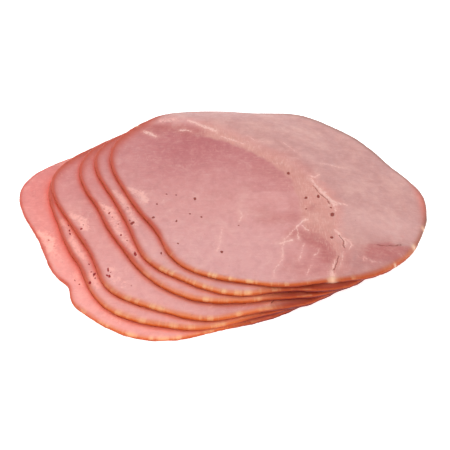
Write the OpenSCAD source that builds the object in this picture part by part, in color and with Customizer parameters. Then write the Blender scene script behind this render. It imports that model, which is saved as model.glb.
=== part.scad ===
// A fanned pile of slices of smoked cooked ham, laid flat on a table.
// Each slice is cut across the same whole-muscle ham, so every slice shows the same
// large muscle, smaller muscle, fat seam, dark wedge at the rim and smoked rind.
// +Z is up. The origin is the centre of the bottom slice's underside.

/* [Slices] */
// Thickness of every slice
slice_t = 2.4; // [1.8:0.1:3]
// Clear height kept between one slice and the next
slice_gap = 0.3; // [0.25:0.05:0.5]
// Width of the smoked rind round each slice
rind_w = 1.4; // [1:0.1:2.4]
// Length that a slice needs to sink past the edge of the slice below it
drape_w = 29; // [28:1:40]

/* [Rim] */
// Height of the soft waves round each rim
wave_h = 0.8; // [0:0.1:1.2]
// Number of waves round each rim
waves = 7; // [3:1:9]
// Depth of the nick in the front rim of the bottom slice
nick_depth = 3; // [0:0.5:4]

/* [Muscles] */
// Width of the fat seam, as a share of its usual width
seam_share = 1; // [0.8:0.05:1.2]
// Depth of the dark wedge muscle on a slice whose corner has no swell
wedge_depth = 10; // [7:0.5:11]

/* [Hidden] */
// Sub-parts of one slice
PIECES = ["main_muscle", "side_muscle", "wedge_muscle", "fat_seam", "smoked_rind"];

// One row a slice, from the bottom up: centre x, centre y, turn, size, phase of the rim
// waves, and how far the front right corner swells out
SLICES = [
    [0, 0, 1, 1.03, 20, -4.5],
    [8, 0.5, -3, 0.98, 130, -4.5],
    [14, 6.5, 1, 1, 250, 1.5],
    [28, 13, 3, 1, 60, 2.5],
    [32.5, 14.5, -1, 0.97, 310, 3.5],
    [42, 18.5, 2, 0.99, 170, 4],
];
slice_count = len(SLICES);
pitch = slice_t + slice_gap;

// Radius of the ham's outline at equal steps of angle, counter-clockwise from +X
OUTLINE = [82, 70, 68, 67, 61, 70, 76, 82, 66, 59, 61, 60, 60, 61, 70, 78];
outline_step = 360 / len(OUTLINE);

// Middle of the fat seam between its ends at the rim: x, y, half of its width
SEAM = [
    [-41, 45.5, 5.5],
    [-28, 42.5, 4],
    [-13, 34.5, 2.5],
    [1, 24.5, 2.5],
    [12, 14.5, 3.3],
    [19, 4.5, 4],
    [23.5, -5, 6.2],
    [26, -14, 7.8],
    [25.5, -24, 7.2],
    [28, -34, 4],
    [32, -42, 2.8],
];
// Angles at which the seam meets the rind, and half of the angle that it takes up there
seam_back = 141.5;
seam_front = 297.5;
seam_half_angle = 1.5;

// Angles between which the wedge muscle lies along the rind
wedge_from = 300;
wedge_to = 339;

// Place and half width of the front right corner's swell, and of the bottom slice's nick
corner_angle = 308;
corner_half_angle = 22;
nick_angle = 211;
nick_half_angle = 6;

// Number of cells along each muscle's edge, and across each sub-part
columns = 34;
main_rows = 5;
side_rows = 9;
wedge_rows = 3;
seam_rows = 2;

// Curve through b and c at share f of the way, led by their neighbours a and d
function spline(a, b, c, d, f) =
    b + 0.5 * f * (c - a + f * (2 * a - 5 * b + 4 * c - d + f * (3 * (b - c) + d - a)));

// Values of slice k
function slice_row(k) = SLICES[k - 1];
function centre(k) = [slice_row(k)[0], slice_row(k)[1]];
function turn(k) = slice_row(k)[2];
function size(k) = slice_row(k)[3];
function wave_phase(k) = slice_row(k)[4];
function corner_swell(k) = slice_row(k)[5];

// Smooth hump of height 1 round a middle angle
function hump(angle, middle, half_angle) =
    exp(-pow(((angle - middle + 540) % 360 - 180) / half_angle, 2));

// Outer radius of slice k, before its size is applied
function rim_r(k, angle) =
    let (count = len(OUTLINE))
    let (turned = angle - 360 * floor(angle / 360))
    let (i = floor(turned / outline_step))
    let (f = turned / outline_step - i)
    spline(OUTLINE[(i + count - 1) % count], OUTLINE[i % count],
           OUTLINE[(i + 1) % count], OUTLINE[(i + 2) % count], f)
    + wave_h * cos(waves * turned + wave_phase(k))
    + corner_swell(k) * hump(turned, corner_angle, corner_half_angle)
    - (k == 1 ? nick_depth * hump(turned, nick_angle, nick_half_angle) : 0);

// Point of slice k's outline, moved inward by inset
function rim_point(k, angle, inset) = (rim_r(k, angle) - inset) * [cos(angle), sin(angle)];

// A slice's own point moved to its place in the pile
function place(k, p) =
    let (a = turn(k))
    centre(k) + size(k) * [cos(a) * p.x - sin(a) * p.y, sin(a) * p.x + cos(a) * p.y];

// Share of a slice's height that still holds up whatever lies on it, past its edge
function support(k, q) =
    let (away = q - centre(k))
    let (edge = size(k) * rim_r(k, atan2(away.y, away.x) - turn(k)))
    let (g = min(max((norm(away) - edge) / drape_w, 0), 1))
    1 - g * g * (3 - 2 * g);

// Height of slice k's underside over a point of the table
function underside(k, q, below = 1) =
    below >= k ? 0 : pitch * support(below, q) + underside(k, q, below + 1);

// Angles round the rind: past the main muscle, then past the side muscle
function spread(from, to) = [for (i = [0:columns]) from + (to - from) * i / columns];
MAIN_ANGLES = spread(seam_back + seam_half_angle, seam_front - seam_half_angle);
SIDE_ANGLES = spread(seam_back - seam_half_angle, seam_front + seam_half_angle - 360);

// Share of its full depth that the wedge muscle has at an angle of the rind
function wedge_share(angle) =
    let (way = (angle + 360 - wedge_from) / (wedge_to - wedge_from))
    way <= 0 || way >= 1 ? 0 : pow(sin(180 * way), 2);

// Columns of the side muscle's edge that the wedge muscle takes up, with one more at each end
WEDGE_COLUMNS = [for (i = [0:columns]) if (wedge_share(SIDE_ANGLES[i]) > 0) i];
wedge_first = WEDGE_COLUMNS[0] - 1;
wedge_last = WEDGE_COLUMNS[len(WEDGE_COLUMNS) - 1] + 1;

// Middle of the seam from rim to rim, as a list of [x, y, half width]
function seam_path(k) =
    let (back = rim_point(k, seam_back, rind_w), front = rim_point(k, seam_front, rind_w))
    concat([[back.x, back.y, 2]], SEAM, [[front.x, front.y, 1.5]]);

// Point of a path at share t of its length, where the ends lead themselves
function along(path, t) =
    let (last = len(path) - 1)
    let (i = min(floor(t * last), last - 1))
    spline(path[max(i - 1, 0)], path[i], path[i + 1], path[min(i + 2, last)], t * last - i);

// Edge of the seam: side is 1 towards the main muscle, -1 towards the side muscle
function seam_edge(k, side) =
    let (path = seam_path(k), step = 0.001)
    [for (i = [0:columns])
        let (t = i / columns)
        let (ahead = along(path, min(t + step, 1)) - along(path, max(t - step, 0)))
        let (run = [ahead.x, ahead.y] / norm([ahead.x, ahead.y]))
        let (p = along(path, t))
        i == 0 ? rim_point(k, seam_back + side * seam_half_angle, rind_w) :
        i == columns ? rim_point(k, seam_front - side * seam_half_angle, rind_w) :
        [p.x, p.y] + side * seam_share * p.z * [run.y, -run.x]];

// Curves that bound the sub-parts, as points of the slice itself
function main_rim(k) = [for (a = MAIN_ANGLES) rim_point(k, a, rind_w)];
function side_rim(k) = [for (a = SIDE_ANGLES) rim_point(k, a, rind_w)];
function side_inner(k) =
    [for (a = SIDE_ANGLES) rim_point(k, a, rind_w + (wedge_depth + corner_swell(k)) * wedge_share(a))];
function cut(curve, first, last) = [for (i = [first:last]) curve[i]];
function backwards(curve) = [for (i = [len(curve) - 1:-1:0]) curve[i]];
function whole_rim(k, inset) =
    [for (a = concat(MAIN_ANGLES, backwards(SIDE_ANGLES))) rim_point(k, a, inset)];

// Triangles of a quad, without those that have shrunk to a line
function quad(a, b, c, d) =
    [for (face = [[a, b, c], [a, c, d]])
        if (face[0] != face[1] && face[1] != face[2] && face[2] != face[0]) face];

// Closed sheet of slice k between curves a and b, which lies on the slices below.
// ends is "point" where the curves meet at both ends, "flat" where they stay apart,
// and "ring" where each curve is a loop.
module draped_sheet(k, a, b, rows, ends) {
    stops = len(a);
    cells = ends == "ring" ? stops : stops - 1;
    low = [for (i = [0:stops - 1]) for (j = [0:rows])
        let (q = place(k, a[i] + (b[i] - a[i]) * j / rows))
        [q.x, q.y, underside(k, q)]];
    high = [for (p = low) p + [0, 0, slice_t]];
    // Number of the low point at column i and row j, where an end keeps only its corners
    function low_at(i, j) =
        let (column = i % stops, at_end = ends != "ring" && (i == 0 || i == cells))
        let (row = at_end && (ends == "point" || j < rows) ? 0 : j)
        column * (rows + 1) + row;
    function high_at(i, j) = low_at(i, j) + len(low);
    top = [for (i = [0:cells - 1]) for (j = [0:rows - 1])
        each quad(high_at(i, j), high_at(i, j + 1), high_at(i + 1, j + 1), high_at(i + 1, j))];
    bottom = [for (i = [0:cells - 1]) for (j = [0:rows - 1])
        each quad(low_at(i, j), low_at(i + 1, j), low_at(i + 1, j + 1), low_at(i, j + 1))];
    edge_a = [for (i = [0:cells - 1])
        each quad(high_at(i, 0), high_at(i + 1, 0), low_at(i + 1, 0), low_at(i, 0))];
    edge_b = [for (i = [0:cells - 1])
        each quad(high_at(i + 1, rows), high_at(i, rows), low_at(i, rows), low_at(i + 1, rows))];
    start = [for (j = [0:rows - 1]) if (ends == "flat")
        each quad(high_at(0, j + 1), high_at(0, j), low_at(0, j), low_at(0, j + 1))];
    finish = [for (j = [0:rows - 1]) if (ends == "flat")
        each quad(high_at(cells, j), high_at(cells, j + 1), low_at(cells, j + 1), low_at(cells, j))];
    polyhedron(concat(low, high), concat(top, bottom, edge_a, edge_b, start, finish));
}

// The same sheet for the bottom slice, which lies flat on the table
module flat_sheet(k, a, b, ends) {
    outer = [for (p = a) place(k, p)];
    inner = [for (p = b) place(k, p)];
    linear_extrude(slice_t)
        if (ends == "ring")
            difference() {
                polygon(outer);
                polygon(inner);
            }
        else
            polygon(concat(outer, backwards(inner)));
}

module sheet(k, a, b, rows, ends) {
    if (k == 1)
        flat_sheet(k, a, b, ends);
    else
        draped_sheet(k, a, b, rows, ends);
}

// Large lean muscle on the left of the slice
module main_muscle(k) {
    color([0.87, 0.62, 0.62])
        sheet(k, main_rim(k), seam_edge(k, 1), main_rows, "point");
}

// Smaller, paler lean muscle on the right
module side_muscle(k) {
    color([0.82, 0.63, 0.61])
        sheet(k, seam_edge(k, -1), side_inner(k), side_rows, "point");
}

// Small dark muscle against the rind at the front right
module wedge_muscle(k) {
    color([0.75, 0.46, 0.45])
        sheet(k, cut(side_inner(k), wedge_first, wedge_last), cut(side_rim(k), wedge_first, wedge_last),
              wedge_rows, "point");
}

// Fat and connective tissue between the two large muscles
module fat_seam(k) {
    color([0.92, 0.74, 0.69])
        sheet(k, seam_edge(k, 1), seam_edge(k, -1), seam_rows, "flat");
}

// Smoked rind, a closed ring round the slice
module smoked_rind(k) {
    color([0.74, 0.38, 0.22])
        sheet(k, whole_rim(k, 0), whole_rim(k, rind_w), 1, "ring");
}

for (k = [1:slice_count]) {
    main_muscle(k);
    side_muscle(k);
    wedge_muscle(k);
    fat_seam(k);
    smoked_rind(k);
}
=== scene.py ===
import math

import bpy
import numpy as np
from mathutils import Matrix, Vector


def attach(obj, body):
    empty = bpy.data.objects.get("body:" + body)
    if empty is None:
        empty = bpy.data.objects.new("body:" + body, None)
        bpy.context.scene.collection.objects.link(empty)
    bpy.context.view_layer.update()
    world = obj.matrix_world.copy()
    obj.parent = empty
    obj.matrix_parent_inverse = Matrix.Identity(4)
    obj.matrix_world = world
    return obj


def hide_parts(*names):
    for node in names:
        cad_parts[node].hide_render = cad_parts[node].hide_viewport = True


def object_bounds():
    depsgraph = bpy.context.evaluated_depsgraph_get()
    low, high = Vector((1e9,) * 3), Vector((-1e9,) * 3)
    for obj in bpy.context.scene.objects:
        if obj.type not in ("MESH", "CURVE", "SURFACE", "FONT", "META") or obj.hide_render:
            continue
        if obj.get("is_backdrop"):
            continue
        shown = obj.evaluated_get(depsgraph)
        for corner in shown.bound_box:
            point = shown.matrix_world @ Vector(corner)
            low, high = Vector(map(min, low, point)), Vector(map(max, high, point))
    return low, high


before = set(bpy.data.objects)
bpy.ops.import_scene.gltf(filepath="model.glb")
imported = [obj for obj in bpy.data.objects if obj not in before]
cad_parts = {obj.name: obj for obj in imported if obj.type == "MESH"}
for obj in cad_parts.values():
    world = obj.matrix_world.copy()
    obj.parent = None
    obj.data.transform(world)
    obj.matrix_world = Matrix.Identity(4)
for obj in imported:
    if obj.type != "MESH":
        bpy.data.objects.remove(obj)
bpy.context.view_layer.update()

# A fanned pile of six slices of smoked cooked ham. Lengths are in millimetres until a mesh
# is made, and a slice's own points ("local") lie round its centre, as in the CAD part.
MM = 0.001

# ---------------------------------------------------------------- the CAD part's dimensions
SLICE_T = 2.4
SLICE_GAP = 0.3
PITCH = SLICE_T + SLICE_GAP
RIND_W = 1.4
DRAPE_W = 29
WAVE_H, WAVES = 0.8, 7
NICK_DEPTH, NICK_ANGLE, NICK_HALF_ANGLE = 3, 211, 6
CORNER_ANGLE, CORNER_HALF_ANGLE = 308, 22
SEAM_BACK, SEAM_FRONT, SEAM_HALF_ANGLE = 141.5, 297.5, 1.5
WEDGE_FROM, WEDGE_TO, WEDGE_DEPTH = 300, 339, 10
OUTLINE = np.array([82, 70, 68, 67, 61, 70, 76, 82, 66, 59, 61, 60, 60, 61, 70, 78], float)
# Centre x, centre y, turn, size, phase of the rim waves, swell of the front right corner
SLICES = [
    (0, 0, 1, 1.03, 20, -4.5),
    (8, 0.5, -3, 0.98, 130, -4.5),
    (14, 6.5, 1, 1, 250, 1.5),
    (28, 13, 3, 1, 60, 2.5),
    (32.5, 14.5, -1, 0.97, 310, 3.5),
    (42, 18.5, 2, 0.99, 170, 4),
]
# Middle of the fat seam between its ends at the rim: x, y, half of its width
SEAM = np.array([
    (-41, 45.5, 5.5), (-28, 42.5, 4), (-13, 34.5, 2.5), (1, 24.5, 2.5), (12, 14.5, 3.3),
    (19, 4.5, 4), (23.5, -5, 6.2), (26, -14, 7.8), (25.5, -24, 7.2), (28, -34, 4), (32, -42, 2.8),
])
# Half of the seam's width at its back and its front end
SEAM_BACK_HALF, SEAM_FRONT_HALF = 2, 1.5
TOP = len(SLICES)

# ---------------------------------------------------------------- detail
# The faces lie this far outside the CAD part's, so that the slices lie closer than there
SKIN = 0.1
# The most that a slice stands off the one below, and the size of the patches where it does
PUFF, PUFF_SIZE = 0.35, 38
# The rim stands out by this much more than in the CAD part
RIM_OUT = 0.4
# Height of streaks, and depth of the seam's fat, the pores and the cracks, in the cut face
STREAK_RISE, FAT_DEPTH, PORE_DEPTH, CRACK_DEPTH = 0.05, 0.07, 0.22, 0.2
# Columns along each muscle, rows across the two large muscles and the seam
FINE = {"columns": 420, "main": 180, "side": 130, "seam": 30}
COARSE = {"columns": 300, "main": 110, "side": 80, "seam": 16}
# The underside has only every fifth row
UNDERSIDE_EVERY = 5
WEDGE_ROWS = 34
RIND_COLUMNS = 1000
# Steps along the seam for distances to it, and points handled at once
SEAM_STEPS = 90
CHUNK = 20_000

# Pores in each slice: x, y, radius. The bottom slice is first.
PORES = [
    [(-60.5, -1.5, 0.6), (-57, -5, 0.4), (-52.5, -15.5, 0.4), (-45.5, -26.5, 0.5), (-44, -28.5, 0.6)],
    [(-61, -3, 0.9), (-60.5, -5.5, 0.9), (-62.5, 0.5, 0.5), (-48, -24.5, 0.6), (-45, -30.5, 1.1),
     (-46.5, -29, 0.6), (-46.5, -35.5, 1), (-44, -33, 0.6)],
    [(-60, -6.5, 0.8), (-59, -3.5, 0.5), (-46, -35.5, 0.8), (-44.5, -36, 1.1), (-45.5, -32, 0.9),
     (-44, -33.5, 0.6), (-57, -13, 0.5), (-34, -42, 0.5)],
    [(-48, -29.5, 0.9), (-55, -17, 0.9), (-61, -2.5, 0.8), (-63.5, 0, 0.6), (-56, -10.5, 0.6),
     (-52, -21, 0.5), (-59, -5.5, 0.5)],
    [(-54.2, -17.5, 1.4), (-55.5, -15.5, 0.6), (-39.5, -37.5, 0.7), (-37.5, -38, 0.5), (-58, -7, 0.4)],
    [(-52, -8.5, 0.6), (-53.5, -17.5, 0.9), (-42.5, -20, 0.6), (-33.5, -5.5, 0.9), (-36, -15.5, 0.5),
     (-30.5, -17.5, 0.6), (-12.5, -24, 0.4), (-42, -34.5, 0.5), (-21.5, -40.5, 0.9), (-47.5, -2, 0.5),
     (-42.5, -2.5, 0.5), (13.5, 10, 0.9), (21, -7, 1), (27, -6.5, 1), (33, -18.5, 1.3),
     (32.5, -14, 0.6), (31, -33.5, 0.8), (20.5, -14.5, 0.6)],
]
# Half of every crack's width, and how much wider than a streak the pink round it is
CRACK_HALF, HALO_W = 0.75, 1
# Dark cracks in every slice: strength, then points along each
CRACKS = [
    (1, [(25, 1), (27, -3), (30, -7), (32.5, -11.5)]),
    (1, [(34.5, -32), (36, -35), (36.5, -40)]),
    (0.9, [(33, -45), (31.5, -49), (30.5, -53)]),
    (0.45, [(10.5, -2.5), (12.5, -3), (14, -2.6)]),
    (0.9, [(52.5, -37), (56, -36.7), (60, -36), (65, -34)]),
    (0.35, [(33, -20), (34, -26), (33.5, -31)]),
]
# White streaks of fat in every slice: half width, strength, then points along each
STREAKS = [
    (0.5, 1, [(19.5, -21.3), (17.5, -23), (15.2, -26)]),
    (0.4, 0.75, [(15.2, -26), (12.5, -28.8), (10.5, -31.5), (8.5, -34)]),
    (0.4, 0.85, [(15, -26.6), (15.3, -30.4), (15.7, -34.3)]),
    (0.35, 0.7, [(17.7, -36.6), (16.2, -41.1), (15.2, -45.6), (14.5, -47.8)]),
    (0.5, 1, [(12.1, -34.2), (9.2, -35.2), (6.2, -36.2)]),
    (0.3, 0.5, [(6.2, -36.2), (2, -35.5)]),
    (0.4, 0.7, [(8, -36.5), (7.2, -39.3), (6.7, -45.3), (2.9, -51.8), (2.1, -56.1)]),
    (0.6, 1, [(18.5, -22), (20.5, -21.5)]),
    (0.35, 0.9, [(17.5, -25.5), (19, -27.5), (20.5, -28.5)]),
    (0.4, 0.7, [(24.4, -40.5), (24, -42.5), (21.6, -43.6)]),
    (0.4, 0.65, [(20.6, -49.5), (19, -52), (17.3, -55.2)]),
    (0.5, 0.9, [(24.5, 6), (26, 2), (28, -1.5)]),
    (0.85, 1, [(28, -1.5), (30, -4.5), (32, -7.5), (34, -10.5), (35, -12)]),
    (0.55, 1, [(32.5, -8.5), (36, -11), (40.5, -12.5)]),
    (0.45, 0.9, [(24, 8), (26.5, 6.5), (28.5, 8.5)]),
    (0.45, 0.9, [(34, -11), (34.5, -14), (34.2, -16.5)]),
    (0.45, 0.65, [(30.5, 17.5), (34, 17.6), (38, 16.6), (42, 16)]),
    (0.6, 1, [(33.5, -29), (34.8, -32.3), (37.4, -37.4)]),
    (0.4, 0.9, [(36, -33.5), (39, -35.5), (40.5, -38.5), (38.5, -41)]),
    (0.35, 0.7, [(35.5, -42), (34.5, -47), (32.5, -52)]),
    (0.45, 0.8, [(31, -47), (29.5, -53), (29, -57)]),
    (0.35, 0.6, [(45, -45.5), (49, -47), (53, -46.5)]),
    (0.8, 1, [(-58.5, 43), (-56, 41), (-53, 39)]),
    (0.5, 0.9, [(-40.5, 43), (-37.5, 43.4), (-35, 42.5)]),
    (0.8, 1, [(-36, 51), (-31.5, 48.3), (-27.5, 45.7), (-24, 43.3), (-22, 42.2)]),
    (0.5, 0.7, [(-19, 37.8), (-15.5, 36.2), (-8, 32)]),
    (0.45, 0.75, [(-21, -26), (-21.6, -30), (-22.5, -36), (-24, -40)]),
    (0.4, 0.75, [(-12, -20.5), (-10.5, -18), (-11.8, -14.5)]),
    (0.35, 0.6, [(12, 33), (16, 28), (20.5, 23)]),
    (0.3, 0.5, [(-6, 38), (-1, 34), (5, 33)]),
]
# Darker red meat in every slice: half width, strength, then points along each
DUSKS = [
    (4.5, 1, [(-56, 45), (-49, 46), (-40, 45), (-32, 42)]),
    (3.5, 0.5, [(49, -41), (55, -39.5), (60, -38)]),
    (5.5, 1, [(15, -30), (21, -34), (26, -38), (28, -47)]),
    (5.5, 0.5, [(1, -19), (9, -21), (14, -19)]),
    (12, 0.5, [(16, -52), (30, -50)]),
    (6, 0.3, [(0, 13), (10, 7), (14, 3)]),
    (5, 0.3, [(16, -11), (13, -17)]),
    (4, 0.6, [(12, 25), (19, 21), (23, 13)]),
    (2, 0.5, [(22.5, -14.5), (24, -13)]),
]
# Lighter meat in the side muscle: half width, strength, then points along each
LIGHTS = [(8, 0.9, [(43, -20), (56, -25), (70, -22)]), (3, 0.5, [(20, 27), (26, 20)])]
# Back edge of the dark meat round the wedge muscle, and a paler line in it along the rim: x, y
WEDGE_EDGE = [(30, -47), (39, -37.5), (52, -36.5), (62, -34), (70, -32.5), (80, -31)]
WEDGE_PALE = [(44, -52), (50, -50.5), (58, -46.5)]
# Cream spots on the top slice's rim, partly painted highlight: angle, radius
RIM_CREAM_HIGHLIGHTS = [(345, 0.9), (335, 1.1), (323, 0.5), (296.5, 1.3), (143, 0.7)]
# Angles where a kind of rim, or of painted contact shadow beside an upper rim, starts, is full, fades
# and ends
LEFT_RIM = (122, 138, 325, 350)
FRONT_RIM = (205, 250, 345, 359)
SIDE_CONTACT_SHADOW = (120, 150, 200, 235)
FRONT_CONTACT_SHADOW = (200, 235, 320, 350)
# The redder smoke at the far right of the rim
GLOW_ANGLE, GLOW_HALF_ANGLE = 358, 13
# Where smoke soaks in deeper: first and last slice, angle, half angle, extra depth
SMOKE_DEEPER = [
    (1, 6, 172, 35, 1), (1, 6, 225, 30, 1), (1, 6, GLOW_ANGLE, GLOW_HALF_ANGLE, 3),
    (6, 6, 318, 25, 0.9), (6, 6, 146, 13, 4), (1, 5, 265, 30, 0.8), (3, 5, 148, 13, 3.2),
]
# Where along the pile the painted shade's darker brown on the front right starts on each slice but the
# top one, and the length over which it grows to its full strength
RIGHT_SHADE_FROM = [20, 26, 34, 34, 34]
RIGHT_SHADE_RUN = 22
# Pale marbled patches: slice (0 is every slice), half width, strength, then points along each
PATCHES = [
    (0, 2.2, 1, [(-66, 2.5), (-63, 0.5), (-59.5, -1.5), (-58, -5.5)]),
    (1, 1.8, 0.7, [(-58, -5), (-55, -12)]),
    (1, 2.5, 1, [(-61.5, -3), (-58.5, -8)]),
    (1, 1.8, 0.7, [(-46, -22), (-43, -28)]),
    (1, 2, 0.7, [(-30, -46), (-24, -50)]),
    (2, 2.5, 0.9, [(-59, -9), (-55, -15), (-52, -20)]),
    (2, 2.5, 1, [(-46, -31), (-43.5, -36)]),
    (3, 2, 0.7, [(-44, -32), (-42, -38), (-38, -41)]),
    (4, 2.5, 0.8, [(-58.5, -8), (-56, -15), (-51, -24), (-47, -30)]),
    (5, 2, 0.8, [(-60, -4), (-55.5, -11), (-53, -18)]),
    (6, 2, 0.4, [(-45, -30), (-40, -35)]),
    (0, 1.5, 0.9, [(28.5, -55), (29.5, -59)]),
    (0, 1.5, 0.4, [(43, -45), (49, -47.5)]),
    (0, 1.8, 0.9, [(-50, 51.5), (-43, 52)]),
]
# Share of pale staves along each slice's front rim, partly cream rind and partly painted highlight
STAVE_CREAM_HIGHLIGHT = [0.9, 0.6, 0.6, 0.7, 0.8, 1]
# How far each slice's cut face leans to salmon and is brightened with painted bounce light from the
# floor: the bottom slice is the warmest
WARMTH = [1, 0.55, 0.3, 0.3, 0.1, 0]
# Random pores in each slice besides those above
EXTRA_PORES = 8
SEED = 20
# Cells in each row of the noise's table, and a shift that takes its lines off the centre
NOISE_CELLS, NOISE_SHIFT = 97, 40.37
# How far apart two slices lie in the materials' noise, so that their patterns differ
HAM_STEP, AROUND_STEP = 4.0, 7.3


# ---------------------------------------------------------------- shape of the slices
def spline(a, b, c, d, f):
    """Curve through b and c at share f of the way, led by their neighbours a and d."""
    return b + 0.5 * f * (c - a + f * (2 * a - 5 * b + 4 * c - d + f * (3 * (b - c) + d - a)))


def smooth(low, high, value):
    """0 below low, 1 above high, with an even S between them."""
    g = np.clip((value - low) / (high - low), 0, 1)
    return g * g * (3 - 2 * g)


def hump(angle, middle, half_angle):
    """Smooth hump of height 1 round a middle angle."""
    return np.exp(-(((angle - middle + 540) % 360 - 180) / half_angle) ** 2)


def bell(away, width):
    """1 on a line, and about a third at width away from it."""
    return np.exp(-(away / width) ** 2)


def gauss(away, half):
    """1 on a line, and about three fifths at half away from it."""
    return np.exp(-0.5 * (away / half) ** 2)


def arc(turned, start, full, fade, end):
    """1 between the angles full and fade, and 0 up to start and from end on."""
    return smooth(start, full, turned) * (1 - smooth(fade, end, turned))


def noise(points, size, seed):
    """Smooth random values from -1 to 1 over a plane, with features of the given size."""
    table = np.random.default_rng(seed).uniform(-1, 1, (NOISE_CELLS, NOISE_CELLS))
    u = np.asarray(points) / size + NOISE_SHIFT
    i = np.floor(u).astype(int)
    f = u - i
    f = f * f * f * (f * (6 * f - 15) + 10)
    x, y = i[..., 0] % NOISE_CELLS, i[..., 1] % NOISE_CELLS
    x1, y1 = (x + 1) % NOISE_CELLS, (y + 1) % NOISE_CELLS
    low = table[x, y] * (1 - f[..., 0]) + table[x1, y] * f[..., 0]
    high = table[x, y1] * (1 - f[..., 0]) + table[x1, y1] * f[..., 0]
    return low * (1 - f[..., 1]) + high * f[..., 1]


def rim_r(k, angle):
    """Outer radius of slice k, before its size is applied."""
    turned = np.mod(angle, 360)
    step = 360 / len(OUTLINE)
    i = np.floor(turned / step).astype(int)
    ring = [OUTLINE[(i + shift) % len(OUTLINE)] for shift in (-1, 0, 1, 2)]
    r = spline(*ring, turned / step - i)
    r = r + WAVE_H * np.cos(np.radians(WAVES * turned + SLICES[k - 1][4]))
    r = r + SLICES[k - 1][5] * hump(turned, CORNER_ANGLE, CORNER_HALF_ANGLE)
    return r - (NICK_DEPTH * hump(turned, NICK_ANGLE, NICK_HALF_ANGLE) if k == 1 else 0)


def polar(radius, angle):
    turned = np.radians(angle)
    return np.stack([radius * np.cos(turned), radius * np.sin(turned)], -1)


def rim_point(k, angle, inset):
    return polar(rim_r(k, angle) - inset, angle)


def angle_of(points):
    return np.degrees(np.arctan2(points[..., 1], points[..., 0]))


def place(k, points):
    """Moves a slice's own points to their place in the pile."""
    x, y, turn, size = SLICES[k - 1][:4]
    c, s = math.cos(math.radians(turn)), math.sin(math.radians(turn))
    return np.stack([
        x + size * (c * points[..., 0] - s * points[..., 1]),
        y + size * (s * points[..., 0] + c * points[..., 1]),
    ], -1)


def underside(k, q):
    """Height of slice k's underside over points of the table, as in the CAD part."""
    height = np.zeros(q.shape[:-1])
    for below in range(1, k):
        x, y, turn, size = SLICES[below - 1][:4]
        away = q - (x, y)
        edge = size * rim_r(below, angle_of(away) - turn)
        height += PITCH * (1 - smooth(0, 1, (np.linalg.norm(away, axis=-1) - edge) / DRAPE_W))
    return height


def lift(k, q):
    """How far slice k is raised by the stand-off of every slice up to it."""
    total = np.zeros(q.shape[:-1])
    for upper in range(2, k + 1):
        total += PUFF * smooth(-0.2, 1, noise(q, PUFF_SIZE, SEED + upper))
    return total


def spread(start, end, count):
    """The ends of count even steps."""
    return np.linspace(start, end, count + 1)


def main_angles(count):
    return spread(SEAM_BACK + SEAM_HALF_ANGLE, SEAM_FRONT - SEAM_HALF_ANGLE, count)


def side_angles(count):
    return spread(SEAM_BACK - SEAM_HALF_ANGLE, SEAM_FRONT + SEAM_HALF_ANGLE - 360, count)


def wedge_share(angle):
    """Depth of the wedge muscle at an angle, as a share of its greatest depth."""
    way = (np.mod(angle, 360) - WEDGE_FROM) / (WEDGE_TO - WEDGE_FROM)
    return np.where((way <= 0) | (way >= 1), 0, np.sin(np.pi * np.clip(way, 0, 1)) ** 2)


def wedge_inset(k, angle):
    """How far inside the rim the side muscle's edge lies."""
    return RIND_W + (WEDGE_DEPTH + SLICES[k - 1][5]) * wedge_share(angle)


def seam_path(k, count):
    """Points along the seam's middle, with half widths."""
    ends = [rim_point(k, SEAM_BACK, RIND_W), rim_point(k, SEAM_FRONT, RIND_W)]
    path = np.vstack([[*ends[0], SEAM_BACK_HALF], SEAM, [*ends[1], SEAM_FRONT_HALF]])
    last = len(path) - 1
    t = spread(0, 1, count) * last
    i = np.minimum(t.astype(int), last - 1)
    four = [path[np.clip(i + shift, 0, last)] for shift in (-1, 0, 1, 2)]
    return spline(*four, (t - i)[:, None])


def seam_edge(k, side, count):
    """Edge of the seam: side is 1 towards the main muscle, -1 towards the side muscle."""
    path = seam_path(k, count)
    run = np.gradient(path[:, :2], axis=0)
    run /= np.linalg.norm(run, axis=1)[:, None]
    edge = path[:, :2] + side * path[:, 2:] * np.stack([run[:, 1], -run[:, 0]], -1)
    edge[0] = rim_point(k, SEAM_BACK + side * SEAM_HALF_ANGLE, RIND_W)
    edge[-1] = rim_point(k, SEAM_FRONT - side * SEAM_HALF_ANGLE, RIND_W)
    return edge


# ---------------------------------------------------------------- what shows on a slice
def chunks(points):
    return np.array_split(points, max(1, len(points) // CHUNK))


def line_distance(points, line):
    """Distance from each point to a line through the given points."""
    best = np.full(len(points), 1e9)
    for a, b in zip(line[:-1], line[1:]):
        a, b = np.asarray(a, float), np.asarray(b, float)
        along = np.clip(((points - a) @ (b - a)) / ((b - a) @ (b - a)), 0, 1)
        best = np.minimum(best, np.linalg.norm(points - a - along[:, None] * (b - a), axis=1))
    return best


def strongest(points, lines, mark):
    """The strongest of the marks along some lines, each shaped by mark(distance, half)."""
    best = np.zeros(len(points))
    for half, strength, line in lines:
        best = np.maximum(best, strength * mark(line_distance(points, line), half))
    return best


def seam_distance(k, points):
    """Distance outside the seam's edge, below 0 in the seam."""
    path = seam_path(k, SEAM_STEPS)
    out = []
    for part in chunks(points):
        gap = np.linalg.norm(part[:, None] - path[None, :, :2], axis=2) - path[None, :, 2]
        out.append(gap.min(axis=1))
    return np.concatenate(out)


def on_main_side(k, points):
    """Whether each point lies on the main muscle's side of the seam's middle."""
    path = seam_path(k, SEAM_STEPS)[:, :2]
    out = []
    for part in chunks(points):
        near = np.linalg.norm(part[:, None] - path[None], axis=2).argmin(axis=1)
        near = np.clip(near, 1, len(path) - 2)
        run = path[near + 1] - path[near - 1]
        off = part - path[near]
        out.append(run[:, 0] * off[:, 1] - run[:, 1] * off[:, 0] < 0)
    return np.concatenate(out)


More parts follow.
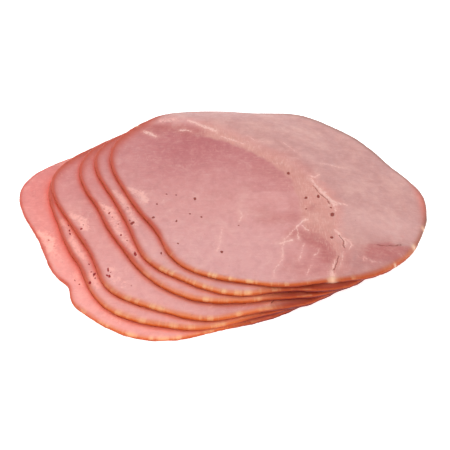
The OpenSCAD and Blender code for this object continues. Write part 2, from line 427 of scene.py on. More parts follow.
def wobble(k, points, size, amount, seed):
    """Points moved a little, and in each slice under the top one by a move of its own too."""
    own = seed + 10 * k
    shift = np.stack([noise(points, size, seed), noise(points, size, seed + 1)], -1)
    more = np.stack([noise(points, size, own), noise(points, size, own + 5)], -1)
    return points + amount * (shift + (0 if k == TOP else 1.5) * more)


def random_pores(k):
    """Weak pores at random places: x, y, radius, strength."""
    rng = np.random.default_rng(SEED + 40 + k)
    angle = rng.uniform(0, 360, EXTRA_PORES)
    share = np.sqrt(rng.uniform(0, 0.85, EXTRA_PORES))
    radius = rng.uniform(0.3, 0.6, EXTRA_PORES)
    return [(*cream_highlight_spot, r, 0.55) for cream_highlight_spot, r in zip(polar(share * rim_r(k, angle), angle), radius)]


def lean_masks(k, points, patchy):
    """Shares of each kind of lean meat, and of the seam's fat."""
    x, y = points[:, 0], points[:, 1]
    broad = noise(points, 17, SEED + 70 + k)
    main_side = on_main_side(k, points)
    seam = seam_distance(k, points) + 0.8 * noise(points, 3, SEED + 80) + 0.5 * patchy
    fat = np.where(main_side, 1 - smooth(-1.2, 1.6, seam), 1 - smooth(-2.5, 7, seam))
    # The dark half of the main muscle ends in a clear line on its right
    right = smooth(-24, 2, x)
    step = smooth(-3.6, -1.6, y + 0.4 * patchy) * right
    deep = smooth(-14, 37, y + 3 * broad) * (0.55 + 0.45 * smooth(-66, -44, x))
    deep = np.maximum(deep * (1 - 0.6 * right * (1 - step)), 0.38 * step)
    # Dark patches are weaker in the middle of the side muscle
    weaker = np.where(main_side | (x < 0) | (x > 44), 1, 0.45)
    dusk = strongest(points, DUSKS, lambda away, half: bell(away, half * (1 + 0.3 * patchy)))
    wedge = smooth(-0.8, 2, np.interp(x, *zip(*WEDGE_EDGE)) - y + patchy)
    wedge *= 0.3 * smooth(31, 38, x) + 0.7 * smooth(38, 52, x + 2 * patchy)
    wedge *= 1 - 0.6 * bell(line_distance(points, WEDGE_PALE), 2.8)
    return {
        "fat": fat * smooth(-36, -25, x),
        "side": np.where(main_side, 0, smooth(-1, 7, seam)),
        "deep": deep * main_side,
        "low": smooth(-8, -38, y) * (1 - smooth(-5, 25, x)) * main_side,
        "light": strongest(points, LIGHTS, bell) * ~main_side,
        "dusk": dusk * weaker,
        "wedge": wedge,
    }


def fat_masks(k, points):
    """Shares of the white streaks, of the pink round them and of the pale patches."""
    streak, halo = np.zeros(len(points)), np.zeros(len(points))
    for half, strength, line in STREAKS:
        away = line_distance(points, line)
        streak = np.maximum(streak, strength * gauss(away, half))
        halo = np.maximum(halo, strength * bell(away, half + HALO_W))
    patches = [patch[1:] for patch in PATCHES if patch[0] in (0, k)]
    return {"streak": streak, "halo": halo, "pale": strongest(points, patches, gauss)}


def hole_masks(k, points):
    """Shares of the pores and the cracks."""
    pore = np.zeros(len(points))
    end = 1.4 if k == TOP else 1.2
    for x, y, radius, strength in [(*cream_highlight_spot, 1) for cream_highlight_spot in PORES[k - 1]] + random_pores(k):
        away = np.hypot(points[:, 0] - x, (points[:, 1] - y) * 0.8) / radius
        pore = np.maximum(pore, strength * (1 - smooth(0.1, end, away)))
    cracks = [(CRACK_HALF, *crack) for crack in CRACKS]
    crack = strongest(points, cracks, lambda away, half: 1 - smooth(0, half, away))
    return {"pore": pore, "crack": crack}


def rim_masks(k, points, rough, patchy):
    """Shares of what lies along the rim, and the inset from it in millimetres."""
    angle = angle_of(points)
    inset = rim_r(k, angle) + RIM_OUT - np.linalg.norm(points, axis=1)
    strength, depth, front, rear, glow = smoke_at(k, angle)
    # The dark edge is wider at the back right, and a cream spot, partly painted highlight, lies 0.5 mm
    # inside the rim
    edge_width = 1.1 + 1.4 * hump(angle, 60, 45)
    cream_highlight_spot = np.zeros(len(points))
    for turn, radius in RIM_CREAM_HIGHLIGHTS if k == TOP else []:
        away = np.linalg.norm(rough - rim_point(k, turn, 0.5 - RIM_OUT), axis=1)
        cream_highlight_spot = np.maximum(cream_highlight_spot, 0.85 * gauss(away, radius))
    return {
        "inset": inset,
        "smoke": strength * np.exp(-(np.maximum(inset + 0.3 * patchy, 0) / depth) ** 2.5),
        "front": front,
        "rear": rear,
        "glow": glow,
        "right_shade": right_shade_at(k, angle) * front,
        "cream_highlight": STAVE_CREAM_HIGHLIGHT[k - 1] * (1 - 0.8 * smooth(298, 312, np.mod(angle, 360))),
        "edge_line": 0.85 * rear * bell(np.maximum(inset, 0), edge_width),
        "cream_highlight_spot": cream_highlight_spot,
        # Painted contact shadow and reflected light beside the rim of the slice above
        "contact_shade": contact_shade(k, points),
    }


def masks(k, points):
    """What each point of slice k is made of, as shares from 0 to 1, and its inset."""
    rough = wobble(k, wobble(k, points, 2.5, 0.35, SEED + 60), 0.9, 0.2, SEED + 62)
    patchy = noise(points, 6, SEED + 90 + k)
    return {
        **lean_masks(k, points, patchy),
        **fat_masks(k, rough),
        **hole_masks(k, rough),
        **rim_masks(k, points, rough, patchy),
    }


def smoke_at(k, angle):
    """At an angle round the rim: how strong the smoke's brown is and how deep it goes, then the
    shares of the orange front, of the pale back and right, and of the red far right."""
    turned = np.mod(angle, 360)
    left = arc(turned, *LEFT_RIM)
    front = arc(turned, *FRONT_RIM)
    glow = hump(turned, GLOW_ANGLE, GLOW_HALF_ANGLE)
    strength = (0.6 + 0.4 * left) * (0.75 if k == 1 else 1) + 0.1 * glow
    depth = 1
    for first, last, middle, half_angle, extra in SMOKE_DEEPER:
        if first <= k <= last:
            depth = depth + extra * hump(turned, middle, half_angle)
    # Where the painted shade on the front right lies, the smoke's brown also reaches deeper into the
    # cut face
    if k != TOP:
        depth = depth + 3.2 * right_shade_at(k, angle) * front
    return strength, depth * (0.7 if k == 1 else 1), front, 1 - left, glow


def right_shade_at(k, angle):
    """Share of painted shade, a darker brown, on the right of the front where the slices lie flush."""
    if k == TOP:
        return 0.6 * hump(angle, 308, 30)
    start = RIGHT_SHADE_FROM[k - 1]
    return 0.95 * smooth(start, start + RIGHT_SHADE_RUN, place(k, rim_point(k, angle, 0))[..., 0])


def contact_shade(k, points):
    """Painted contact shadow, red-brown with reflected light, on slice k beside the rim of the slice
    that lies on it; at the front it is a lighter orange, painted bounce light.
    """
    if k == TOP:
        return np.zeros(len(points))
    x, y, turn, size = SLICES[k][:4]
    away = place(k, points) - (x, y)
    angle = np.mod(angle_of(away) - turn, 360)
    gap = np.abs(np.linalg.norm(away, axis=1) - size * (rim_r(k + 1, angle) + RIM_OUT))
    width, strength = (2.2, 0.65) if k == 1 else (1.6, 0.75)
    side = arc(angle, *SIDE_CONTACT_SHADOW) * np.exp(-(gap / width) ** 1.5)
    front = arc(angle, *FRONT_CONTACT_SHADOW) * np.exp(-(gap / 1.2) ** 1.5)
    return strength * (side + front)


def relief(k, points, show):
    """Height of the cut face over its flat plane, mostly a little below 0."""
    fibre = noise(points * (0.35, 1), 1.1, SEED + 120 + k)
    lumps = noise(points, 7, SEED + 130 + k)
    height = -0.06 + 0.03 * lumps + 0.02 * fibre
    height -= FAT_DEPTH * show["fat"] * (0.6 + 0.4 * noise(points, 2, SEED + 140))
    height += STREAK_RISE * np.maximum(show["streak"], show["pale"])
    pores = PORE_DEPTH * smooth(0.2, 0.9, show["pore"])
    cracks = CRACK_DEPTH * smooth(0.2, 0.9, show["crack"])
    return height - (pores + cracks)


# ---------------------------------------------------------------- meshes
# Edges sharper than this, such as those round a cut face, are shaded sharp
SHARP_ANGLE = math.radians(62)


def make_piece(k, part, slot, verts, faces, layers):
    """The visible piece that stands for one CAD node of slice k, from points in millimetres."""
    node = f"slice_{k}_{part}"
    mesh = bpy.data.meshes.new(f"{node}_cut")
    mesh.from_pydata((verts * MM).tolist(), [], faces)
    for label, values in layers.items():
        if values.ndim == 2:
            layer = mesh.attributes.new(label, "FLOAT_VECTOR", "POINT")
            layer.data.foreach_set("vector", values.astype(np.float32).ravel())
        else:
            layer = mesh.attributes.new(label, "FLOAT", "POINT")
            layer.data.foreach_set("value", values.astype(np.float32))
    mesh.update()
    mesh.shade_smooth()
    mesh.set_sharp_from_angle(angle=SHARP_ANGLE)
    mesh.materials.append(MATERIALS[slot])
    piece = bpy.data.objects.new(mesh.name, mesh)
    bpy.context.scene.collection.objects.link(piece)
    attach(piece, f"slice_{k}")
    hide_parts(node)


def quads(a, b, c, d):
    """Faces from four arrays of corner numbers, without corners that fall together."""
    out = []
    for face in np.stack([a, b, c, d], -1).reshape(-1, 4).tolist():
        kept = [v for i, v in enumerate(face) if v != face[i - 1]]
        if len(set(kept)) >= 3:
            out.append(kept)
    return out


def sheet_numbers(columns, rows, ends, start):
    """Vertex number at each column and row of a sheet. A "point" end is a single vertex, and a
    "flat" one is a straight edge from its first vertex to its last."""
    numbers = start + np.arange((columns + 1) * (rows + 1)).reshape(columns + 1, rows + 1)
    for end in (0, -1):
        last = rows + 1 if ends == "point" else rows
        numbers[end, :last] = numbers[end, 0]
    return numbers


def layers_for(k, points, height, show):
    """Values that the materials read at each point."""
    layers = {label: values for label, values in show.items() if label != "inset"}
    around = np.full(len(points), AROUND_STEP * k)
    layers["around"] = np.column_stack([rim_point(k, angle_of(points), 0), around])
    layers["ham"] = np.column_stack([points, np.full(len(points), HAM_STEP * k) + height])
    layers["warm"] = np.full(len(points), WARMTH[k - 1])
    return layers


def flesh(k, part, slot, edge_a, edge_b, shares, ends):
    """A muscle or the seam of slice k, between two curves across the slice."""
    columns, rows = len(edge_a) - 1, len(shares) - 1
    picks = np.unique(np.r_[np.arange(0, rows, UNDERSIDE_EVERY), rows])
    grid = edge_a[:, None] + (edge_b - edge_a)[:, None] * shares[None, :, None]
    local = [grid.reshape(-1, 2), grid[:, picks].reshape(-1, 2)]
    show = [masks(k, points) for points in local]
    bed = [underside(k, place(k, points)) + lift(k, place(k, points)) for points in local]
    high = bed[0] + SLICE_T + SKIN + relief(k, local[0], show[0])
    low = bed[1] - (SKIN if k > 1 else 0)
    verts = np.vstack([
        np.column_stack([place(k, local[0]), high]),
        np.column_stack([place(k, local[1]), low]),
    ])
    top = sheet_numbers(columns, rows, ends, 0)
    under = sheet_numbers(columns, len(picks) - 1, ends, len(local[0]))
    faces = quads(top[:-1, :-1], top[1:, :-1], top[1:, 1:], top[:-1, 1:])
    faces += quads(under[:-1, :-1], under[:-1, 1:], under[1:, 1:], under[1:, :-1])
    faces += quads(top[:-1, 0], under[:-1, 0], under[1:, 0], top[1:, 0])
    faces += quads(top[1:, -1], under[1:, -1], under[:-1, -1], top[:-1, -1])
    if ends == "flat":
        for end, order in ((0, 1), (-1, -1)):
            wall = [top[end, 0], under[end, 0], under[end, -1], top[end, -1]]
            faces.append([int(v) for v in wall[::-order]])
    # Vertices that fell together in the sheets' ends are dropped
    used = np.unique([v for face in faces for v in face])
    renumber = np.full(len(verts), -1)
    renumber[used] = np.arange(len(used))
    faces = [[int(renumber[v]) for v in face] for face in faces]
    both = {label: np.concatenate([show[0][label], show[1][label]]) for label in show[0]}
    heights = np.concatenate([np.full(len(local[0]), SLICE_T), np.zeros(len(local[1]))])
    layers = layers_for(k, np.vstack(local), heights, both)
    layers = {label: values[used] for label, values in layers.items()}
    make_piece(k, part, slot, verts[used], faces, layers)


# Section of the rind, from the inner edge of its top round the outside to the inner edge of
# its underside: inset from the rim, then height as a share of the slice
RIND_SECTION = [
    (RIND_W, 1), (1.15, 0.995), (0.9, 0.98), (0.65, 0.95), (0.42, 0.905), (0.25, 0.85),
    (0.12, 0.78), (0.04, 0.7), (0, 0.62), (-0.03, 0.53), (-0.05, 0.44), (-0.05, 0.35),
    (-0.03, 0.26), (0.02, 0.17), (0.12, 0.09), (0.3, 0.03), (0.6, 0), (1, 0), (RIND_W, 0),
]


def rind(k):
    """The smoked rind of slice k: a ring whose outer face is lumpy and cut square."""
    angle = np.arange(RIND_COLUMNS) * 360 / RIND_COLUMNS
    inset = np.array([row[0] for row in RIND_SECTION])
    share = np.array([row[1] for row in RIND_SECTION])
    turned, inset = np.meshgrid(angle, inset, indexing="ij")
    share = np.broadcast_to(share, turned.shape)
    outer = np.clip(1 - inset / RIND_W, 0, 1)
    base = rim_point(k, turned, 0)
    lumps = 0.2 * noise(base, 7, SEED + 150 + k)
    lumps += 0.16 * noise(base + 9 * share[..., None], 2.6, SEED + 160)
    lumps += 0.08 * noise(base + 5 * share[..., None], 1.1, SEED + 170 + k)
    local = rim_point(k, turned, inset - smooth(0, 1, outer) * (lumps + RIM_OUT)).reshape(-1, 2)
    share, outer = share.reshape(-1), outer.reshape(-1)
    q = place(k, local)
    show = masks(k, local)
    ragged = 0.12 * noise(local, 1.8, SEED + 180 + k) * outer
    low = underside(k, q) + lift(k, q) - (SKIN if k > 1 else 0)
    thick = SLICE_T + SKIN * (2 if k > 1 else 1)
    height = low + share * thick + ragged * (share - 0.5)
    # The top's inner part follows the cut face, and the rest sinks with it
    cut = share > 0.99
    height += cut * relief(k, local, show) - 0.06 * share * ~cut
    if k == 1:
        height = np.maximum(height, 0)
    rows = len(RIND_SECTION)
    numbers = np.arange(RIND_COLUMNS * rows).reshape(RIND_COLUMNS, rows)
    after = np.roll(numbers, -1, axis=0)
    following, next_after = np.roll(numbers, -1, axis=1), np.roll(after, -1, axis=1)
    faces = np.stack([numbers, following, next_after, after], -1).reshape(-1, 4).tolist()
    layers = layers_for(k, local, share * SLICE_T, show)
    layers["level"] = share
    layers["wall"] = 1 - smooth(0.1, 0.7, show["inset"])
    make_piece(k, "smoked_rind", "rind", np.column_stack([q, height]), faces, layers)


# ---------------------------------------------------------------- materials
# How brightly the scene's light shows a matt colour, and what the gloss adds to it
LIGHT, GLOSS = 1.2, 0.026


def seen(red, green, blue):
    """The linear colour a shader takes, for how it looks on a screen in this light, 0 to 255."""
    parts = [c / 255 for c in (red, green, blue)]
    parts = [p / 12.92 if p <= 0.04045 else ((p + 0.055) / 1.055) ** 2.4 for p in parts]
    return (*[min(max((p - GLOSS) / LIGHT, 0.004), 0.95) for p in parts], 1)


class Shader:
    """A new material, and short calls that add nodes to it."""

    def __init__(self, name):
        self.material = bpy.data.materials.new(name)
        self.material.use_nodes = True
        self.tree = self.material.node_tree
        self.surface = self.tree.nodes["Principled BSDF"]

    def put(self, socket, value):
        if isinstance(value, bpy.types.NodeSocket):
            self.tree.links.new(value, socket)
        else:
            socket.default_value = value

    def layer(self, label, output="Fac"):
        node = self.tree.nodes.new("ShaderNodeAttribute")
        node.attribute_name = label
        return node.outputs[output]

    def maths(self, kind, a, b=0.0):
        node = self.tree.nodes.new("ShaderNodeMath")
        node.operation = kind
        self.put(node.inputs[0], a)
        self.put(node.inputs[1], b)
        return node.outputs[0]

    def mix(self, share, a, b, kind="MIX"):
        node = self.tree.nodes.new("ShaderNodeMix")
        node.data_type = "RGBA"
        node.blend_type = kind
        self.put(node.inputs["Factor"], share)
        self.put(node.inputs[6], a)
        self.put(node.inputs[7], b)
        return node.outputs[2]

    def times(self, a, b):
        return self.maths("MULTIPLY", a, b)

    def swing(self, value, amount):
        """A noise from 0 to 1 turned into one of that amount in all, round 0."""
        return self.times(self.maths("SUBTRACT", value, 0.5), amount)

    def stretch(self, vector, scale, turn=0):
        node = self.tree.nodes.new("ShaderNodeMapping")
        self.put(node.inputs["Vector"], vector)
        node.inputs["Scale"].default_value = scale
        node.inputs["Rotation"].default_value = (0, 0, math.radians(turn))
        return node.outputs[0]

    def noise(self, vector, size, detail=3.0, rough=0.55, bend=0.0):
        """Noise from 0 to 1 with features of the given size in millimetres."""
        node = self.tree.nodes.new("ShaderNodeTexNoise")
        self.put(node.inputs["Vector"], vector)
        node.inputs["Scale"].default_value = 1 / size
        node.inputs["Detail"].default_value = detail
        node.inputs["Roughness"].default_value = rough
        node.inputs["Distortion"].default_value = bend
        return node.outputs["Fac"]

    def between(self, value, low, high, out_low=0.0, out_high=1.0):
        """From out_low where the value is low to out_high where it is high, in an even S."""
        node = self.tree.nodes.new("ShaderNodeMapRange")
        node.interpolation_type = "SMOOTHSTEP"
        self.put(node.inputs["Value"], value)
        for socket, number in zip(list(node.inputs)[1:5], (low, high, out_low, out_high)):
            socket.default_value = number
        return node.outputs[0]

    def bump(self, height, distance, normal=None):
        """Bump of the given depth in millimetres, over another one where there is one."""
        node = self.tree.nodes.new("ShaderNodeBump")
        self.put(node.inputs["Height"], height)
        node.inputs["Distance"].default_value = distance * MM
        if normal is not None:
            self.put(node.inputs["Normal"], normal)
        return node.outputs[0]

    def finish(self, values):
        """Sets the surface's sockets by their names, and gives the material."""
        for name, value in values.items():
            self.put(self.surface.inputs[name], value)
        return self.material


LEAN = seen(222, 157, 154)
LEAN_LOW = seen(226, 166, 164)
LEAN_DEEP = seen(195, 115, 118)
LEAN_DUSK = seen(196, 118, 115)
SIDE_PINK = seen(214, 160, 154)
SIDE_GREY = seen(205, 152, 148)
SIDE_LIGHT = seen(222, 171, 166)
WEDGE_LEAN = seen(194, 121, 118)
SEAM_PINK = seen(220, 156, 146)
FAT_WHITE = seen(245, 203, 190)
STREAK_WHITE = seen(250, 203, 193)
FAT_PINK = seen(250, 192, 182)
PORE_BROWN = seen(152, 74, 66)
PORE_RED = seen(168, 50, 50)
CRACK_BROWN = seen(150, 84, 72)
# Painted contact shadow, red with reflected light, beside the rim of the slice above, and its lighter
# front part, painted bounce light
CONTACT_SHADOW_RED = seen(232, 88, 56)
CONTACT_BOUNCE_FRONT = seen(248, 138, 106)
SMOKE_BROWN = seen(199, 92, 74)
SMOKE_RED = seen(200, 96, 76)
SMOKE_PEACH = seen(234, 141, 101)
BARK_ORANGE = seen(220, 112, 59)
BARK_BROWN = seen(192, 87, 38)
# Painted shade on the rims at the front right
RIGHT_SHADE_BROWN = seen(168, 66, 26)
# The rind's dark foot, partly painted contact shade
BARK_DARK = seen(164, 60, 22)
# Pale cream of the rim's staves, partly painted highlight
BARK_CREAM_HIGHLIGHT = seen(253, 198, 148)
BACK_BROWN = seen(176, 128, 120)
GLOW_RED = seen(226, 106, 86)
# Painted contact shade low on the rim where the slices lie flush
FLUSH_SHADE_BROWN = seen(112, 40, 18)
RIM_SHADE = seen(142, 96, 84)
# Cream spots on the rim, partly painted highlight
SPOT_CREAM_HIGHLIGHT = seen(252, 208, 178)
# These multiply a colour: on the warmest slice, a salmon tint that is partly painted bounce light from
# the floor, and where it is darker
WARM_TINT_AND_BOUNCE = (1.36, 1.12, 1.04, 1)
LEAN_SHADE = (0.84, 0.78, 0.78, 1)
SMOKE_SHADE = (0.68, 0.56, 0.5, 1)
BARK_SHADE = (0.62, 0.5, 0.42, 1)


def lean_colour(s, cloud):
    """Each kind of lean meat and the seam's fat, before any mottling."""
    side = s.mix(s.between(cloud, 0.34, 0.68), SIDE_GREY, SIDE_PINK)
    side = s.mix(s.layer("light"), side, SIDE_LIGHT)
    colour = s.mix(s.layer("low"), LEAN, LEAN_LOW)
    colour = s.mix(s.layer("deep"), colour, LEAN_DEEP)
    colour = s.mix(s.layer("side"), colour, side)
    colour = s.mix(s.layer("fat"), colour, SEAM_PINK)
    colour = s.mix(s.layer("wedge"), colour, WEDGE_LEAN)
    return s.mix(s.layer("dusk"), colour, LEAN_DUSK)


def mottled(s, ham, colour, cloud, fibre, fine):
    """Dark and fatty flecks of several sizes, and the seam's own grain."""
    mottle = s.noise(ham, 5, 4, 0.6, 0.5)
    medium = s.noise(ham, 2.1, 3, 0.6, 0.4)
    grain = s.noise(s.stretch(ham, (1.1, 0.16, 0.4), -12), 0.55, 3, 0.6, 0.2)
    darker = s.mix(1.0, colour, LEAN_SHADE, "MULTIPLY")

    def fleck(value, low, high, top, paint):
        nonlocal colour
        colour = s.mix(s.between(value, low, high, 0, top), colour, paint)

    fleck(mottle, 0.56, 0.3, 0.45, darker)
    fleck(cloud, 0.5, 0.72, 0.16, FAT_WHITE)
    fleck(mottle, 0.5, 0.75, 0.14, FAT_WHITE)
    fleck(fibre, 0.52, 0.78, 0.2, FAT_WHITE)
    fleck(fibre, 0.48, 0.22, 0.3, darker)
    for low, high, paint in ((0.52, 0.72, FAT_WHITE), (0.48, 0.28, darker)):
        in_seam = s.times(s.between(grain, low, high), s.layer("fat"))
        colour = s.mix(s.times(in_seam, 0.4), colour, paint)
    fleck(fine, 0.55, 0.8, 0.12, FAT_WHITE)
    fleck(medium, 0.5, 0.75, 0.12, FAT_WHITE)
    fleck(medium, 0.48, 0.28, 0.2, darker)
    return colour


def marbled(s, ham, colour):
    """Fine veins of fat, and the pale marbled patches."""
    # The veins follow the lines where a broad noise crosses its middle value
    vein = s.noise(ham, 9, 5, 0.55, 0.8)
    vein = s.between(s.maths("ABSOLUTE", s.maths("SUBTRACT", vein, 0.5)), 0.0, 0.016, 1, 0)
    veiny = s.times(vein, s.between(s.noise(ham, 21, 2), 0.48, 0.66))
    colour = s.mix(s.times(veiny, 0.2), colour, FAT_WHITE)
    marble = s.swing(s.noise(ham, 1.7, 4, 0.65, 0.6), 2.4)
    marble = s.between(s.maths("ADD", s.layer("pale"), marble), 0.35, 1.15, 0, 0.8)
    return s.mix(s.times(marble, s.between(s.layer("pale"), 0.02, 0.3)), colour, FAT_PINK)


def streaked(s, ham, colour):
    """White streaks of fat, combed: broken across their length and ragged at their edges."""
    hair = s.swing(s.noise(s.stretch(ham, (1.4, 1, 0.4), 35), 1, 4, 0.7, 0.4), 3)
    colour = s.mix(s.times(s.layer("halo"), 0.25), colour, FAT_PINK)
    fleck = s.between(s.maths("ADD", s.layer("streak"), hair), 0.3, 1.25, 0, 0.85)
    return s.mix(s.times(fleck, s.between(s.layer("streak"), 0.02, 0.4)), colour, STREAK_WHITE)


def staves(s):
    """Noise that runs down the rim in stripes: pale where it was in folds of the net, and partly
    painted highlight.
    """
    return s.noise(s.layer("around", "Vector"), 5, 3, 0.55)


def smoke_colour(s, ham):
    """The smoke's brown, with pale staves along the front of the rim that are partly painted
    highlight.
    """
    stave = s.times(s.between(staves(s), 0.48, 0.64), s.layer("cream_highlight"))
    peach = s.mix(stave, SMOKE_PEACH, BARK_CREAM_HIGHLIGHT)
    tone = s.mix(s.layer("front"), SMOKE_BROWN, peach)
    tone = s.mix(s.layer("rear"), tone, BACK_BROWN)
    tone = s.mix(s.layer("glow"), tone, GLOW_RED)
    # Painted shade on the front right
    tone = s.mix(s.layer("right_shade"), tone, RIGHT_SHADE_BROWN)
    scorch = s.noise(s.stretch(ham, (1, 1, 0.5)), 2.2, 4, 0.65, 0.5)
    scorched = s.mix(1.0, tone, SMOKE_SHADE, "MULTIPLY")
    return s.mix(s.between(scorch, 0.52, 0.75, 0, 0.6), tone, scorched)


def flesh_colour(s, ham, smoke, fibre, fine):
    """Colour of cut meat, the same rule for every muscle, so that no edge shows between them."""
    cloud = s.noise(ham, 14, 4, 0.6, 0.6)
    colour = mottled(s, ham, lean_colour(s, cloud), cloud, fibre, fine)
    colour = streaked(s, ham, marbled(s, ham, colour))
    # Painted contact shadow and reflected light beside the rim of the slice above
    colour = s.mix(s.layer("contact_shade"), colour, s.mix(s.layer("front"), CONTACT_SHADOW_RED, CONTACT_BOUNCE_FRONT))
    colour = s.mix(s.layer("smoke"), colour, smoke)
    colour = s.mix(s.layer("edge_line"), colour, RIM_SHADE)
    # Cream spots on the rim, partly painted highlight
    colour = s.mix(s.layer("cream_highlight_spot"), colour, SPOT_CREAM_HIGHLIGHT)
    # Salmon tint, partly painted bounce light from the floor
    warm = s.times(s.layer("warm"), s.between(s.layer("smoke"), 0.1, 1, 1, 0.35))
    colour = s.mix(warm, colour, WARM_TINT_AND_BOUNCE, "MULTIPLY")
    # Pores and cracks have ragged edges
    ragged = s.noise(ham, 0.8, 3, 0.65)
    hole = s.mix(s.between(s.layer("warm"), 0, 0.3), PORE_BROWN, PORE_RED)
    pore = s.maths("ADD", s.layer("pore"), s.swing(ragged, 0.5))
    colour = s.mix(s.between(pore, 0.3, 0.6), colour, hole)
    crack = s.maths("ADD", s.layer("crack"), s.swing(ragged, 1.3))
    return s.mix(s.between(crack, 0.4, 0.95, 0, 0.75), colour, CRACK_BROWN)


def bark_colour(s, smoke, crust):
    """Colour of the rind's outside, from its dark foot, partly painted contact shade, up to the
    smoke's brown at the top.
    """
    level = s.maths("ADD", s.layer("level"), s.swing(crust, 0.5))
    # Painted shade on the front right lifts the dark foot higher up the rind
    level = s.maths("SUBTRACT", level, s.times(s.layer("right_shade"), 0.4))
    bark = s.mix(s.between(level, 0, 0.35), BARK_DARK, BARK_BROWN)
    orange = s.mix(s.layer("front"), SMOKE_RED, BARK_ORANGE)
    # Painted shade on the front right
    orange = s.mix(s.layer("right_shade"), orange, RIGHT_SHADE_BROWN)
    orange = s.mix(s.layer("rear"), orange, RIM_SHADE)
    bark = s.mix(s.between(level, 0.35, 0.8), bark, orange)
    bark = s.mix(s.between(level, 0.7, 1), bark, smoke)
    # The outer edge is darkest at the back, and painted contact shade darkens it low down where the
    # slices lie flush
    bark = s.mix(s.layer("edge_line"), bark, RIM_SHADE)
    flush_shade = s.times(s.layer("right_shade"), s.between(s.layer("level"), 0.8, 0.3, 0, 0.85))
    bark = s.mix(flush_shade, bark, FLUSH_SHADE_BROWN)
    # Pale staves on the front of the rind, partly painted highlight
    pale = s.times(s.between(staves(s), 0.5, 0.64), s.between(level, 0.25, 0.7, 0, 0.6))
    pale = s.times(pale, s.layer("cream_highlight"))
    bark = s.mix(s.times(pale, s.layer("front")), bark, BARK_CREAM_HIGHLIGHT)
    charred = s.mix(1.0, bark, BARK_SHADE, "MULTIPLY")
    bark = s.mix(s.between(crust, 0.52, 0.72, 0, 0.6), bark, charred)
    # Cream spots on the rim, partly painted highlight
    bark = s.mix(s.layer("cream_highlight_spot"), bark, SPOT_CREAM_HIGHLIGHT)
    # Salmon tint, partly painted bounce light from the floor
    return s.mix(s.times(s.layer("warm"), 0.25), bark, WARM_TINT_AND_BOUNCE, "MULTIPLY")


def fibre_noise(s, ham):
    return s.noise(s.stretch(ham, (0.16, 1.15, 0.4), 4), 0.8, 4, 0.6, 0.3)


def fine_noise(s, ham):
    return s.noise(ham, 0.9, 3, 0.6)


def flesh_material(name, roughness, fibre_depth):
    s = Shader(name)
    ham = s.layer("ham", "Vector")
    fibre, fine = fibre_noise(s, ham), fine_noise(s, ham)
    damp = s.noise(ham, 4, 3, 0.6)
    return s.finish({
        "Base Color": flesh_colour(s, ham, smoke_colour(s, ham), fibre, fine),
        "Roughness": s.between(damp, 0.3, 0.7, roughness - 0.08, roughness + 0.1),
        "Normal": s.bump(fine, 0.05, s.bump(fibre, fibre_depth)),
        "Subsurface Weight": 0.25,
        "Subsurface Scale": 1.6 * MM,
        "Subsurface Radius": (1, 0.45, 0.35),
        "Specular IOR Level": 0.35,
        "Coat Weight": 0.03,
        "Coat Roughness": 0.35,
    })


def rind_material():
    s = Shader("smoked_rind")
    ham = s.layer("ham", "Vector")
    fibre, fine = fibre_noise(s, ham), fine_noise(s, ham)
    smoke = smoke_colour(s, ham)
    crust = s.noise(s.stretch(ham, (1, 1, 0.5)), 1.9, 5, 0.68, 0.6)
    meat = flesh_colour(s, ham, smoke, fibre, fine)
    return s.finish({
        "Base Color": s.mix(s.layer("wall"), meat, bark_colour(s, smoke, crust)),
        "Roughness": s.between(crust, 0.3, 0.7, 0.42, 0.62),
        "Normal": s.bump(fine, 0.06, s.bump(crust, 0.25)),
        "Subsurface Weight": 0.15,
        "Subsurface Scale": 1.2 * MM,
        "Subsurface Radius": (1, 0.4, 0.25),
        "Specular IOR Level": 0.25,
        "Coat Weight": 0.03,
        "Coat Roughness": 0.3,
    })


def floor_material():
    s = Shader("pale_floor")
    grain = s.tree.nodes.new("ShaderNodeTexNoise")
    grain.inputs["Scale"].default_value = 60
    s.put(grain.inputs["Vector"], s.tree.nodes.new("ShaderNodeTexCoord").outputs["Object"])
    return s.finish({
        "Base Color": s.mix(grain.outputs["Fac"], (0.95, 0.95, 0.95, 1), (0.98, 0.98, 0.98, 1)),
        "Roughness": 0.8,
        "Emission Color": (1, 1, 1, 1),
        "Emission Strength": 0.7,
    })


# Roughness, and depth of the fibre in millimetres, in each material slot of cut meat
FLESH_SLOTS = {
    "main_lean": (0.44, 0.07),
    "side_lean": (0.46, 0.06),
    "wedge_lean": (0.42, 0.06),
    "seam_fat": (0.5, 0.05),
}
MATERIALS = {slot: flesh_material(slot, *values) for slot, values in FLESH_SLOTS.items()}
MATERIALS["rind"] = rind_material()


# ---------------------------------------------------------------- the six slices
def closer_at_start(shares):
    return 0.45 * shares + 0.55 * shares ** 2


def ham_slice(k):
    """The five pieces of slice k."""
    detail = FINE if k == TOP else COARSE
    count = detail["columns"]
    main_rows, side_rows = spread(0, 1, detail["main"]), spread(0, 1, detail["side"])
    if k != TOP:
        # The rim shows and the middle is covered, so the rows are closer near the rim
        main_rows = closer_at_start(main_rows)
        side_rows = 1 - closer_at_start(side_rows)[::-1]
    left, right = seam_edge(k, 1, count), seam_edge(k, -1, count)
    main_rim = rim_point(k, main_angles(count), RIND_W)
    side_turn = side_angles(count)
    side_rim = rim_point(k, side_turn, wedge_inset(k, side_turn))
    flesh(k, "main_muscle", "main_lean", main_rim, left, main_rows, "point")
    flesh(k, "side_muscle", "side_lean", right, side_rim, side_rows, "point")
    flesh(k, "fat_seam", "seam_fat", left, right, spread(0, 1, detail["seam"]), "flat")
    wedge_turn = spread(WEDGE_TO - 360, WEDGE_FROM - 360, count // 3)
    inner = rim_point(k, wedge_turn, wedge_inset(k, wedge_turn))
    outer = rim_point(k, wedge_turn, RIND_W)
    flesh(k, "wedge_muscle", "wedge_lean", inner, outer, spread(0, 1, WEDGE_ROWS), "point")
    rind(k)


for number in range(1, TOP + 1):
    ham_slice(number)

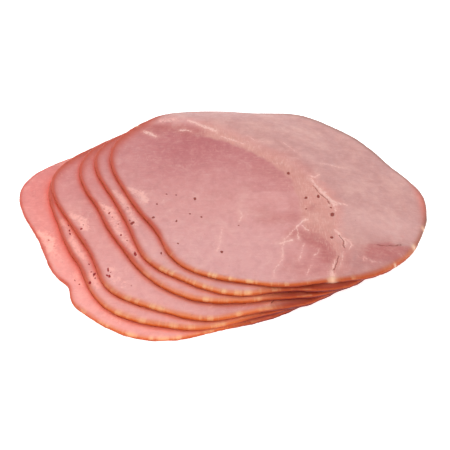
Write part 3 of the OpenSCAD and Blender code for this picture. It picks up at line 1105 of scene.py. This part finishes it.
# ---------------------------------------------------------------- floor, light and camera
# Places and sizes are in metres from here on, and the lens and its sensor in millimetres
FLOOR_HALF = 4
KEY_PLACE, KEY_SIZE, KEY_POWER = (-0.35, 0.5, 1.2), 0.9, 2.5
SKY_STRENGTH = 1.1
# The photographed angle: straight from the front, 48 degrees above the table
ELEVATION = math.radians(48)
DISTANCE = 0.5488
AIM = (0.0237, 0.0044, 0.0052)
LENS, SENSOR = 90, 36


def add_floor():
    mesh = bpy.data.meshes.new("floor")
    corners = [(-1, -1, 0), (1, -1, 0), (1, 1, 0), (-1, 1, 0)]
    corners = [tuple(FLOOR_HALF * c for c in corner) for corner in corners]
    mesh.from_pydata(corners, [], [(0, 1, 2, 3)])
    mesh.materials.append(floor_material())
    floor = bpy.data.objects.new("floor", mesh)
    bpy.context.scene.collection.objects.link(floor)
    floor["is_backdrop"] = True


def add_light():
    """A round lamp behind and above the pile, turned to its middle, and an even white sky."""
    scene = bpy.context.scene
    low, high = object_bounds()
    data = bpy.data.lights.new("key", "AREA")
    data.shape = "DISK"
    data.size = KEY_SIZE
    data.energy = KEY_POWER
    lamp = bpy.data.objects.new("key", data)
    lamp.location = KEY_PLACE
    back = lamp.location - (low + high) / 2
    lamp.rotation_euler = back.to_track_quat("Z", "Y").to_euler()
    scene.collection.objects.link(lamp)
    world = bpy.data.worlds.new("studio")
    world.use_nodes = True
    world.node_tree.nodes["Background"].inputs["Color"].default_value = (1, 1, 1, 1)
    world.node_tree.nodes["Background"].inputs["Strength"].default_value = SKY_STRENGTH
    scene.world = world
    scene.view_settings.view_transform = "Standard"


def add_camera():
    data = bpy.data.cameras.new("camera")
    data.lens = LENS
    data.sensor_width = SENSOR
    data.clip_start, data.clip_end = 0.01, 20
    camera = bpy.data.objects.new("camera", data)
    camera.location = (
        AIM[0],
        AIM[1] - DISTANCE * math.cos(ELEVATION),
        AIM[2] + DISTANCE * math.sin(ELEVATION),
    )
    camera.rotation_euler = (math.pi / 2 - ELEVATION, 0, 0)
    bpy.context.scene.collection.objects.link(camera)
    bpy.context.scene.camera = camera


add_floor()
add_light()
add_camera()
